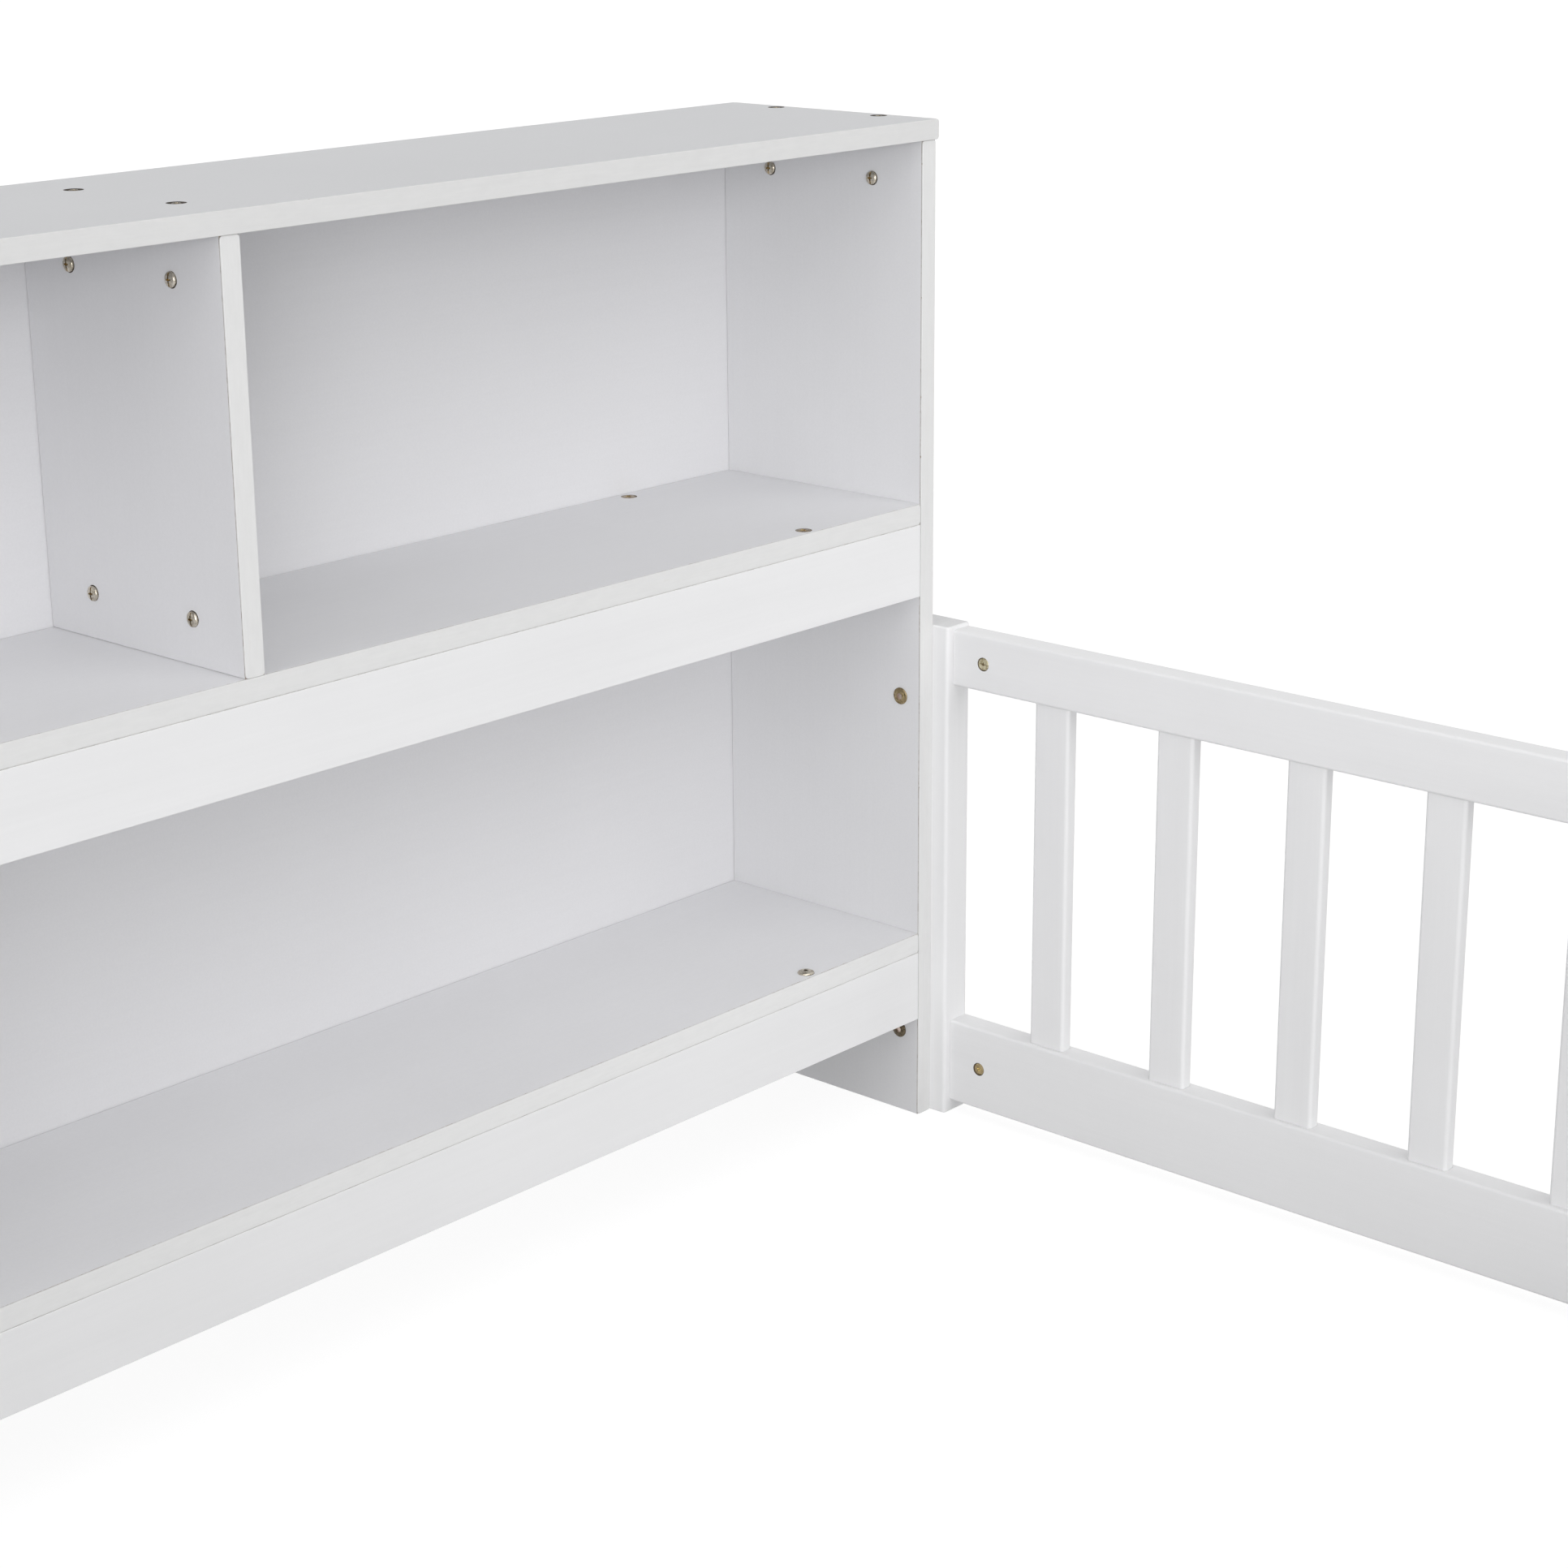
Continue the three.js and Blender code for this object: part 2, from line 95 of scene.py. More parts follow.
# Finish
BOARD_EASING = 0.35 * MM
BAND = 1.0 * MM  # the strip glued over a board's front edge
BAND_CORNER = 2.4 * MM
BAND_EASING = 0.35 * MM
BAND_BACK_EASING = BOARD_EASING / 3  # on the side towards the board
GLUE = 0.55 * MM  # what shows of the joint behind it
GLUE_SINK = 0.06 * MM
END_GAP = 0.18 * MM  # between a board's end and the board that it meets
STRIP_GAP = 0.6 * MM  # how much shorter a shelf's strip is at each end
BACK_GAP = 0.4 * MM  # between the boards and the back panels
BACK_REACH = BOARD / 4  # a board that ends further than this from the case's back has a back panel behind it
BACK_EASING = 0.3 * MM
NOTCH_GAP = 0.3 * MM  # round what a board is notched for
BATTEN_EASING = 0.6 * MM
BATTEN_END_ROUNDING = 0.9 * MM
BATTEN_GAP = 0.4 * MM  # at each end
BEAD_SINK = 0.6 * MM  # from the battens' faces
BEAD_DEPTH = 4 * MM
STRIP_DROP = 0.5 * MM  # how far a shelf's strip reaches below the shelf
POST_ROUNDING = 3 * MM
POST_END_ROUNDING = 1.5 * MM
RAIL_ROUNDING = 2.5 * MM
RAIL_END_ROUNDING = 0.5 * MM
SLAT_ROUNDING = 3 * MM
SLAT_END_ROUNDING = 0.3 * MM
MORTISE_GAP = 0.2 * MM
MORTISE_END_ROUNDING = 0.1 * MM

# Meshing
SHARP = math.radians(50)
TOUCH = 0.01 * MM  # two places closer than this are one
PAST = 2 * MM  # how far a cutter reaches past what it cuts
HOLE_SIDES = 40
ROUNDING_STEPS = 5
EASING_STEPS = 2
RIM_STEPS = 3
DOME_STEPS = 7

RIGHT, LEFT = Vector((1, 0, 0)), Vector((-1, 0, 0))
BACK, FRONT = Vector((0, 1, 0)), Vector((0, -1, 0))
UP, DOWN = Vector((0, 0, 1)), Vector((0, 0, -1))


# Materials

def feed(tree, node, inputs):
    """Links each input that is given as a socket, and sets any other one."""
    for name, value in inputs.items():
        socket = node.inputs[name]
        if isinstance(value, bpy.types.NodeSocket):
            tree.links.new(value, socket)
        else:
            socket.default_value = value


def add(tree, kind, inputs, **settings):
    """A new shader node with its inputs and settings."""
    node = tree.nodes.new(kind)
    for name, value in settings.items():
        setattr(node, name, value)
    feed(tree, node, inputs)
    return node


def stretched_noise(tree, coordinates, scale, detail, roughness):
    """Noise with its own scale along each axis, from 0 to 1."""
    mapping = add(tree, "ShaderNodeMapping", {"Vector": coordinates, "Scale": scale})
    texture = add(tree, "ShaderNodeTexNoise",
                  {"Vector": mapping.outputs[0], "Scale": 1.0, "Detail": detail, "Roughness": roughness})
    return texture.outputs[0]


def between(tree, value, low, high, from_low=0.3, from_high=0.7):
    """The value mapped from its usual spread to low and high."""
    ends = {"From Min": from_low, "From Max": from_high, "To Min": low, "To Max": high}
    return add(tree, "ShaderNodeMapRange", {"Value": value, **ends}).outputs[0]


def product(tree, a, b):
    """Two numbers from nodes, multiplied."""
    return add(tree, "ShaderNodeMath", {0: a, 1: b}, operation="MULTIPLY").outputs[0]


def larger(tree, a, b):
    """The larger of two numbers from nodes."""
    return add(tree, "ShaderNodeMath", {0: a, 1: b}, operation="MAXIMUM").outputs[0]


def tinted(tree, colour, factor):
    """A colour multiplied by a number from nodes."""
    return add(tree, "ShaderNodeVectorMath", {0: colour, 3: factor}, operation="SCALE").outputs[0]


def mixed(tree, factor, a, b):
    """A colour between two, from a at 0 to b at 1."""
    return add(tree, "ShaderNodeMix", {0: factor, 6: a, 7: b}, data_type="RGBA").outputs[2]


def bumped(tree, height, strength, distance):
    """A surface direction from a height that comes from nodes."""
    inputs = {"Strength": strength, "Distance": distance, "Height": height}
    return add(tree, "ShaderNodeBump", inputs).outputs[0]


def new_material(name):
    """A material, its nodes, its shader, and the place on the object that its textures start from."""
    material = bpy.data.materials.new(name)
    material.use_nodes = True
    tree = material.node_tree
    where = add(tree, "ShaderNodeTexCoord", {}).outputs["Object"]
    return material, tree, tree.nodes["Principled BSDF"], where


def grain_scale(along, length_wise, across):
    """A noise scale that draws streaks along one axis."""
    return tuple(length_wise if axis == along else across for axis in "XYZ")


def painted_timber(along):
    """Satin white paint over planed timber, whose grain still shows along one axis."""
    material, tree, shader, where = new_material(f"timber paint {along}")
    fine = stretched_noise(tree, where, grain_scale(along, 9, 420), 5.0, 0.6)
    broad = stretched_noise(tree, where, grain_scale(along, 2.2, 46), 3.0, 0.5)
    cloud = stretched_noise(tree, where, (7, 7, 7), 2.0, 0.5)
    shade = product(tree, between(tree, fine, 0.991, 1.006), between(tree, broad, 0.985, 1.006))
    shade = product(tree, shade, between(tree, cloud, 0.988, 1.006))
    knots = add(tree, "ShaderNodeMapping", {"Vector": where, "Scale": grain_scale(along, 2.6, 6.5)})
    knot = add(tree, "ShaderNodeTexVoronoi", {"Vector": knots.outputs[0], "Scale": 1.0}).outputs["Distance"]
    shade = product(tree, shade, between(tree, knot, 0.955, 1.0, 0.04, 0.11))
    feed(tree, shader, {
        "Base Color": tinted(tree, TIMBER_COLOUR, shade),
        "Roughness": between(tree, broad, 0.36, 0.46),
        "Normal": bumped(tree, fine, 0.22, 0.12 * MM),
    })
    return material


def end_grain():
    """Paint over a post's end, which soaks it up and stays greyer than the sides."""
    material, tree, shader, where = new_material("end grain paint")
    pores = stretched_noise(tree, where, (900, 900, 900), 3.0, 0.6)
    rings = stretched_noise(tree, where, (60, 240, 60), 3.0, 0.5)
    shade = product(tree, between(tree, pores, 0.965, 1.01), between(tree, rings, 0.96, 1.01))
    feed(tree, shader, {
        "Base Color": tinted(tree, END_COLOUR, shade),
        "Roughness": between(tree, pores, 0.5, 0.62),
        "Normal": bumped(tree, pores, 0.3, 0.1 * MM),
    })
    return material


def coated_board(name, along, colour):
    """White coating on a pressed board, with faint streaks along one axis and a fine print under it."""
    material, tree, shader, where = new_material(name)
    streak = stretched_noise(tree, where, grain_scale(along, 5, 210), 4.0, 0.6)
    speck = stretched_noise(tree, where, (520, 520, 520), 3.0, 0.6)
    cloud = stretched_noise(tree, where, (5.5, 5.5, 5.5), 3.0, 0.55)
    shade = product(tree, between(tree, streak, 0.994, 1.004), between(tree, speck, 0.982, 1.01))
    shade = product(tree, shade, between(tree, cloud, 0.984, 1.01))
    feed(tree, shader, {
        "Base Color": tinted(tree, colour, shade),
        "Roughness": between(tree, speck, 0.42, 0.54),
        "Normal": bumped(tree, speck, 0.2, 0.05 * MM),
    })
    return material


def edge_band(name, along, paint):
    """The painted strip on a board's edge, a little warmer and more uneven than the board's faces."""
    material, tree, shader, where = new_material(name)
    brushed = stretched_noise(tree, where, grain_scale(along, 36, 520), 4.0, 0.65)
    blotch = stretched_noise(tree, where, grain_scale(along, 55, 130), 3.0, 0.6)
    shade = product(tree, between(tree, brushed, 0.98, 1.009), between(tree, blotch, 0.976, 1.01))
    worn = between(tree, blotch, 0.0, 0.2, 0.62, 0.8)
    colour = mixed(tree, worn, (*paint, 1), (*WORN_EDGE_COLOUR, 1))
    feed(tree, shader, {
        "Base Color": tinted(tree, colour, shade),
        "Roughness": between(tree, blotch, 0.42, 0.56),
        "Normal": bumped(tree, brushed, 0.3, 0.1 * MM),
    })
    return material


def glue_line(name, bare, filled):
    """The joint behind an edge strip: bare in places, and filled with paint in others."""
    material, tree, shader, where = new_material(name)
    patches = stretched_noise(tree, where, (85, 85, 85), 4.0, 0.75)
    fill = between(tree, patches, 0.0, 1.0, 0.4, 0.52)
    feed(tree, shader, {"Base Color": mixed(tree, fill, (*bare, 1), (*filled, 1)), "Roughness": 0.7})
    return material


def raw_board(name, dark, light):
    """Bare pressed board."""
    material, tree, shader, where = new_material(name)
    chips = stretched_noise(tree, where, (900, 900, 900), 3.0, 0.6)
    fill = between(tree, chips, 0.0, 1.0)
    feed(tree, shader, {"Base Color": mixed(tree, fill, (*dark, 1), (*light, 1)), "Roughness": 0.8})
    return material


def back_coating():
    """The thin back panels' matt white print."""
    material, tree, shader, where = new_material("back panel coating")
    streak = stretched_noise(tree, where, (7, 200, 260), 4.0, 0.6)
    speck = stretched_noise(tree, where, (700, 700, 700), 2.0, 0.5)
    cloud = stretched_noise(tree, where, (3.2, 3.2, 3.2), 2.0, 0.5)
    shade = product(tree, between(tree, streak, 0.993, 1.004), between(tree, speck, 0.984, 1.01))
    shade = product(tree, shade, between(tree, cloud, 0.986, 1.01))
    feed(tree, shader, {
        "Base Color": tinted(tree, BACK_COLOUR, shade),
        "Roughness": between(tree, speck, 0.52, 0.62),
    })
    return material


def zinc(name, dark, light):
    """Plated steel whose tone shifts between two colours, with a fine grain."""
    material, tree, shader, where = new_material(name)
    patches = stretched_noise(tree, where, (330, 330, 330), 3.0, 0.6)
    grain = stretched_noise(tree, where, (1700, 1700, 1700), 3.0, 0.6)
    tone = mixed(tree, between(tree, patches, 0.0, 1.0, 0.35, 0.65), (*dark, 1), (*light, 1))
    feed(tree, shader, {
        "Base Color": tinted(tree, tone, between(tree, grain, 0.78, 1.12)),
        "Metallic": 1.0,
        "Roughness": between(tree, patches, 0.2, 0.36),
        "Normal": bumped(tree, grain, 0.35, 0.06 * MM),
    })
    return material


TIMBER_COLOUR = (0.816, 0.816, 0.823)
END_COLOUR = (0.7, 0.7, 0.706)
# The board coatings are one white laminate, each set to the light on its pieces, the shelf and side whites
# too. The top board's is darkened with painted shade against the light and sheen on its face.
TOP_SHADED_COLOUR = (0.556, 0.56, 0.573)
SHELF_COLOUR = (0.802, 0.802, 0.817)
# The lower shelf's coating is lightened with painted light, for the light that it lacks.
LOWER_SHELF_LIT_COLOUR = (0.835, 0.835, 0.85)
SIDE_COLOUR = (0.727, 0.727, 0.741)
# The dividers' coating is darkened with painted shade, for the shade of the middle bay.
DIVIDER_SHADED_COLOUR = (0.68, 0.679, 0.695)
# The strip whites are one edge paint set to the light on their boards: darkened with painted shade on the top
# board, lightened with painted light on the lower shelf.
TOP_EDGE_SHADED_COLOUR = (0.706, 0.706, 0.704)
EDGE_COLOUR = (0.748, 0.748, 0.746)
LOWER_EDGE_LIT_COLOUR = (0.793, 0.793, 0.791)
WORN_EDGE_COLOUR = (0.6, 0.57, 0.53)
BACK_COLOUR = (0.752, 0.75, 0.767)

TIMBER = {axis: painted_timber(axis) for axis in "XYZ"}
TOP_SHADED_BAND = edge_band("top board edge band with painted shade", "X", TOP_EDGE_SHADED_COLOUR)
SHELF_BAND = edge_band("shelf edge band", "X", EDGE_COLOUR)
LOWER_SHELF_LIT_BAND = edge_band("lower shelf edge band with painted light", "X", LOWER_EDGE_LIT_COLOUR)
UPRIGHT_BAND = edge_band("upright edge band", "Z", EDGE_COLOUR)
TOP_SHADED_COATING = coated_board("top board coating with painted shade", "X", TOP_SHADED_COLOUR)
SHELF_COATING = coated_board("shelf coating", "X", SHELF_COLOUR)
LOWER_SHELF_LIT_COATING = coated_board("lower shelf coating with painted light", "X", LOWER_SHELF_LIT_COLOUR)
SIDE_COATING = coated_board("side panel coating", "Z", SIDE_COLOUR)
DIVIDER_SHADED_COATING = coated_board("divider coating with painted shade", "Z", DIVIDER_SHADED_COLOUR)
BACK_PRINT = back_coating()
END_GRAIN = end_grain()
RAW = raw_board("raw board", (0.07, 0.05, 0.035), (0.2, 0.155, 0.11))
# Raw board darkened with painted shade, for the walls of the top board's bolt holes.
HOLE_SHADE_RAW = raw_board("raw board with painted hole shade", (0.018, 0.014, 0.01), (0.06, 0.046, 0.034))
CHIPPED = raw_board("chipped board", (0.24, 0.18, 0.13), (0.46, 0.39, 0.32))
JOINT_PAINT = glue_line("joint paint", (0.5, 0.49, 0.475), (0.62, 0.61, 0.6))
GLUE_LINE = {
    "X": glue_line("shelf glue line", (0.4, 0.33, 0.27), (0.68, 0.67, 0.66)),
    "Z": glue_line("upright glue line", (0.24, 0.185, 0.145), (0.44, 0.41, 0.39)),
}
ZINC = zinc("yellow zinc", (0.44, 0.39, 0.3), (0.72, 0.67, 0.58))
PALE_ZINC = zinc("pale zinc", (0.5, 0.43, 0.25), (0.84, 0.77, 0.55))
# Dull zinc is the wide bolts' own bronze tone; in the nuts' slots and crosses and on the lower rail nuts it
# is painted shade.
DULL_ZINC_AND_SHADE = zinc("dull zinc and painted shade", (0.23, 0.175, 0.085), (0.42, 0.33, 0.19))
# Zinc darkened with painted shade, for the top board's sunk bolts and the low post bolts.
SHADE_DARKENED_ZINC = zinc("zinc darkened with painted shade", (0.06, 0.048, 0.032), (0.15, 0.12, 0.08))
SOCKET = zinc("socket", (0.42, 0.34, 0.29), (0.6, 0.5, 0.44))
# Zinc lightened with a painted glint, for the lit far walls of cross recesses.
GLINT_ZINC = zinc("zinc with painted glint", (0.6, 0.48, 0.2), (0.86, 0.76, 0.48))
# Zinc darkened with painted shade, for the drivers' recesses.
RECESS_SHADE = zinc("driver recess painted shade", (0.09, 0.065, 0.035), (0.2, 0.155, 0.085))
WARM_ZINC = zinc("warm zinc", (0.2, 0.145, 0.085), (0.44, 0.35, 0.22))


# Mesh shapes

def block(bm, low, high):
    """A closed box between two corners. Returns its edges."""
    low, high = Vector(low), Vector(high)
    size = Matrix.Diagonal((*(high - low), 1))
    made = bmesh.ops.create_cube(bm, size=1.0, matrix=Matrix.Translation((low + high) / 2) @ size)
    return list(dict.fromkeys(edge for vert in made["verts"] for edge in vert.link_edges))


def ease(bm, edges, radius, segments):
    """Rounds edges."""
    bmesh.ops.bevel(bm, geom=edges, offset=radius, segments=segments, profile=0.5,
                    affect="EDGES", clamp_overlap=False)


def eased_block(bm, low, high, radius):
    """A closed box with all its edges rounded."""
    ease(bm, block(bm, low, high), radius, EASING_STEPS)


def merge(bm, part):
    """Moves one bmesh's shape into another."""
    mesh = bpy.data.meshes.new("part")
    part.to_mesh(mesh)
    part.free()
    bm.from_mesh(mesh)
    bpy.data.meshes.remove(mesh)


def bar(bm, low, high, axis, rounding, end_roundings):
    """A box with its edges along one axis rounded, and then the rims of its low and high ends."""
    part = bmesh.new()
    sides = [e for e in block(part, low, high) if abs((e.verts[1].co - e.verts[0].co)[axis]) > TOUCH]
    ease(part, sides, rounding, ROUNDING_STEPS)
    for end, size in zip((low, high), end_roundings):
        rim = [e for e in part.edges if all(abs(v.co[axis] - end[axis]) < TOUCH for v in e.verts)]
        ease(part, rim, size, RIM_STEPS)
    merge(bm, part)


def revolved(bm, profile, matrix, sides=HOLE_SIDES):
    """A closed turned shape about local Z. The profile is (radius, height) pairs from pole to pole."""
    angles = [2 * math.pi * i / sides for i in range(sides)]
    rings = []
    for radius, height in profile:
        ring = [Vector((radius * math.cos(a), radius * math.sin(a), height)) for a in angles]
        if radius == 0:
            ring = ring[:1]
        rings.append([bm.verts.new(matrix @ point) for point in ring])
    for lower, upper in zip(rings, rings[1:]):
        for i in range(sides):
            around = ((lower, i), (lower, i + 1), (upper, i + 1), (upper, i))
            corners = dict.fromkeys(ring[place % len(ring)] for ring, place in around)  # a pole only once
            bm.faces.new(list(corners))


def finished(name, bm, materials):
    """A mesh object made of a bmesh, which is used up."""
    bmesh.ops.recalc_face_normals(bm, faces=bm.faces)
    mesh = bpy.data.meshes.new(name)
    bm.to_mesh(mesh)
    bm.free()
    for material in materials:
        mesh.materials.append(material)
    piece = bpy.data.objects.new(name, mesh)
    bpy.context.scene.collection.objects.link(piece)
    return piece


def smooth(piece):
    """Shades curved faces smooth, and keeps corners sharp."""
    mesh = piece.data
    mesh.polygons.foreach_set("use_smooth", [True] * len(mesh.polygons))
    mesh.set_sharp_from_angle(angle=SHARP)
    weighted = piece.modifiers.new("even normals", "WEIGHTED_NORMAL")
    weighted.keep_sharp = True


def carve(piece, cutter):
    """Takes the cutter's shape out of the piece. The new faces wear the cutter's material."""
    difference = piece.modifiers.new("cut", "BOOLEAN")
    difference.operation = "DIFFERENCE"
    difference.solver = "EXACT"
    difference.material_mode = "TRANSFER"
    difference.object = cutter
    evaluated = piece.evaluated_get(bpy.context.evaluated_depsgraph_get())
    mesh = bpy.data.meshes.new_from_object(evaluated)
    piece.modifiers.remove(difference)
    old = piece.data
    piece.data = mesh
    mesh.name = piece.name
    bpy.data.meshes.remove(old)
    used = cutter.data
    bpy.data.objects.remove(cutter)
    bpy.data.meshes.remove(used)


def facing(place, out, turn=0.0):
    """Takes +Z to the out direction at a place, turned about it. On a level direction, +Y goes to +Z."""
    aim = Vector(out).to_track_quat("Z", "Y").to_matrix().to_4x4()
    return Matrix.Translation(place) @ aim @ Matrix.Rotation(turn, 4, "Z")


# Holes: profiles about the hole's axis, with height 0 on the face that it enters

def hole(radius, depth, mouth):
    """A straight hole whose mouth is eased."""
    rim = radius + mouth
    return [(0, -depth), (radius, -depth), (radius, -mouth), (rim, 0), (rim, MM), (0, MM)]


def sunk_hole(radius, shank, depth):
    """A hole with a countersink at 45 degrees."""
    sink = radius - shank
    return [(0, -depth), (shank, -depth), (shank, -sink), (radius, 0), (radius, MM), (0, MM)]


NUT_HOLE = hole(5.3 * MM, 12.5 * MM, 0.12 * MM)
RAIL_NUT_HOLE = hole(5.3 * MM, 17 * MM, 0.15 * MM)
BOLT_HOLE = hole(3.3 * MM, 19 * MM, 0.1 * MM)
POST_BOLT_HOLE = hole(3.3 * MM, 17 * MM, 0.1 * MM)
PANEL_BOLT_HOLE = hole(3.3 * MM, BOARD + MM, 0.1 * MM)
HEAD_HOLE = sunk_hole(6.5 * MM, 3.3 * MM, BOARD + MM)
SCREW_HOLE = sunk_hole(6.3 * MM, 2.8 * MM, BOARD + MM)
SMALL_SCREW_HOLE = sunk_hole(3.1 * MM, 1.6 * MM, 6 * MM)

holes = {}  # node: (profile, matrix) pairs
fasteners = {}  # piece name: (kind, matrix) pairs


def drilled(node, profile, matrix):
    """Notes a hole in the piece that stands for a node."""
    holes.setdefault(node, []).append((profile, matrix))


def fasten(group, kind, matrix):
    """Notes a fastener of a piece that holds a whole group."""
    fasteners.setdefault(group, []).append((kind, matrix))


def board_bolt(through, into, face, inward, nut_out, group):
    """A sunk bolt through one board into the edge of another, and the barrel nut that it meets there."""
    head = facing(face, -inward, BOARD_BOLT_TURN)
    mouth = face + inward * (BOARD + NUT_TO_EDGE) + nut_out * BOARD / 2
    drilled(through, HEAD_HOLE, head)
    drilled(into, NUT_HOLE, facing(mouth, nut_out))
    fasten(f"{group}_bolts", "sunk_bolt", head)
    fasten(f"{group}_nuts", "domed_nut", facing(mouth - inward * NUT_PLAY, nut_out))


def rail_bolt(post, rail, face, inward, post_width, nut_out, rail_thick, nut):
    """A wide-headed bolt through a post into a rail's end, and its barrel nut."""
    head = facing(face, -inward, RAIL_BOLT_TURN)
    mouth = face + inward * (post_width + RAIL_NUT_TO_POST) + nut_out * rail_thick / 2
    drilled(post, BOLT_HOLE, head)
    drilled(rail, RAIL_NUT_HOLE, facing(mouth, nut_out))
    fasten(f"{post}_bolts", "wide_bolt", head)
    fasten(f"{post}_nuts", nut, facing(mouth, nut_out, RAIL_NUT_TURN))


for sign, side, out in ((1, "right", RIGHT), (-1, "left", LEFT)):
    panel = f"side_panel_{side}"
    for y in BOLT_ROWS:
        face = Vector((sign * (x_side - BOARD / 2), y, top_face))
        board_bolt("top_board", panel, face, DOWN, -out, f"top_to_{side}_side")
        for shelf in shelf_top:
            face = Vector((sign * x_side, y, shelf_top[shelf] - BOARD / 2))
            board_bolt(panel, shelf, face, -out, DOWN, f"{side}_side_to_{shelf}")
for number, x in ((1, -divider_x), (2, divider_x)):
    divider = f"upper_divider_{number}"
    for y in BOLT_ROWS:
        board_bolt("top_board", divider, Vector((x, y, top_face)), DOWN, LEFT, f"top_to_divider_{number}")
        face = Vector((x, y, shelf_top["middle_shelf"] - BOARD))
        board_bolt("middle_shelf", divider, face, UP, LEFT, f"middle_shelf_to_divider_{number}")
for y in BOLT_ROWS:
    face = Vector((0, y, shelf_top["middle_shelf"]))
    board_bolt("middle_shelf", "lower_divider", face, DOWN, LEFT, "middle_shelf_to_lower_divider")
    foot = facing(Vector((0, y, shelf_top["lower_shelf"])), UP, FOOT_SCREW_TURN)
    drilled("lower_shelf", SCREW_HOLE, foot)
    fasten("centre_foot_screws", "sunk_screw", foot)
for prefix, kind, rows in (("middle", "sunk_screw", ("front", "rear")), ("lower", "domed_screw", ("front",))):
    shelf = f"{prefix}_shelf"
    for row in rows:
        low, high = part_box(f"{prefix}_{row}_batten")
        for x in (-SCREW_X, SCREW_X):
            place = facing(Vector((x, (low.y + high.y) / 2, shelf_top[shelf])), UP, SHELF_SCREW_TURN + x)
            drilled(shelf, SCREW_HOLE, place)
            fasten(f"{prefix}_batten_screws", kind, Matrix.Translation(SCREW_PLAY) @ place)

for sign, side, out in ((1, "right", RIGHT), (-1, "left", LEFT)):
    for row in ("top", "bottom"):
        rail, front_rail = f"{side}_guard_{row}_rail", f"front_{side}_guard_{row}_rail"
        low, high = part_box(rail)
        x, z, thick = (low.x + high.x) / 2, (low.z + high.z) / 2, high.x - low.x
        y_front_rail = (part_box(front_rail)[0].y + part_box(front_rail)[1].y) / 2
        rear, corner, gate = (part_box(f"{kind}_post_{side}") for kind in ("rear", "corner", "gate"))
        outer = corner[1].x if sign > 0 else corner[0].x
        gap = gate[0].x if sign > 0 else gate[1].x
        nut = "flat_nut" if row == "top" else "low_nut"
        joints = (
            ("rear", rail, Vector((x, rear[1].y, z)), FRONT, rear[1].y - rear[0].y, -out),
            ("corner", rail, Vector((x, corner[0].y, z)), BACK, corner[1].y - corner[0].y, -out),
            ("corner", front_rail, Vector((outer, y_front_rail, z - CROSS_BOLT_DROP)), -out,
             corner[1].x - corner[0].x, BACK),
            ("gate", front_rail, Vector((gap, y_front_rail, z - CROSS_BOLT_DROP)), out,
             gate[1].x - gate[0].x, BACK),
        )
        for kind, into, face, inward, width, nut_out in joints:
            rail_bolt(f"{kind}_post_{side}", into, face, inward, width, nut_out, thick, nut)

post_bolts = {}
for sign, side, inwards in ((1, "right", LEFT), (-1, "left", RIGHT)):
    for row in ("low", "high"):
        node = f"post_bolt_{side}_{row}"
        low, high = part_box(node)
        y, z = (low.y + high.y) / 2, (low.z + high.z) / 2
        post_bolts[node] = facing(Vector((sign * x_inner, y, z)), inwards, POST_BOLT_TURN)
        drilled(f"side_panel_{side}", PANEL_BOLT_HOLE, post_bolts[node])
        drilled(f"rear_post_{side}", POST_BOLT_HOLE, facing(Vector((sign * x_side, y, z)), inwards))


def back_screw(panel, x, z):
    """A small screw through a back panel, from behind."""
    place = facing(Vector((x, panel_high.y, z)), BACK, BACK_SCREW_TURN * x + z)
    drilled(panel, SMALL_SCREW_HOLE, place)
    fasten(f"{panel}_screws", "small_screw", place)


for z in UPPER_SCREW_ROWS:
    for x in (-BACK_SCREW_X, -divider_x, divider_x, BACK_SCREW_X):
        back_screw("back_panel_upper", x, z)
for z in LOWER_SCREW_ROWS:
    columns = LOWER_SCREW_COLUMNS if z in (LOWER_SCREW_ROWS[0], LOWER_SCREW_ROWS[-1]) else ()
    for x in (-BACK_SCREW_X, *columns, 0, BACK_SCREW_X):
        back_screw("back_panel_lower", x, z)


def cut_holes(piece, node, material):
    """Cuts the node's drilled holes. Their walls show the material."""
    if node not in holes:
        return
    bm = bmesh.new()
    for profile, matrix in holes[node]:
        revolved(bm, profile, matrix)
    carve(piece, finished(f"{node}_holes", bm, [material]))


# Boards. Their front edges have a glued strip, with a thin joint behind it.

chance = random.Random(7)  # for the chips' outlines


def dress(piece, slot, *nodes):
    """Shades a piece, hangs it on the root body, and hides the CAD nodes that it stands for. The slot is not
    used.
    """
    smooth(piece)
    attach(piece, "root")
    if nodes:
        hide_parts(*nodes)


def knock(piece, places):
    """Chips the piece at the places, given with the chips' sizes."""
    bm = bmesh.new()
    for place, size in places:
        part = bmesh.new()
        bmesh.ops.create_icosphere(part, subdivisions=2, radius=size)
        for vert in part.verts:
            vert.co *= chance.uniform(*CHIP_SPREAD)
            vert.co.z *= CHIP_STRETCH
        bmesh.ops.translate(part, verts=part.verts, vec=place)
        merge(bm, part)
    carve(piece, finished("chips", bm, [CHIPPED]))


def cut_blocks(piece, boxes, material):
    """Cuts boxes out of the piece."""
    bm = bmesh.new()
    for low, high in boxes:
        block(bm, low, high)
    carve(piece, finished("notches", bm, [material]))


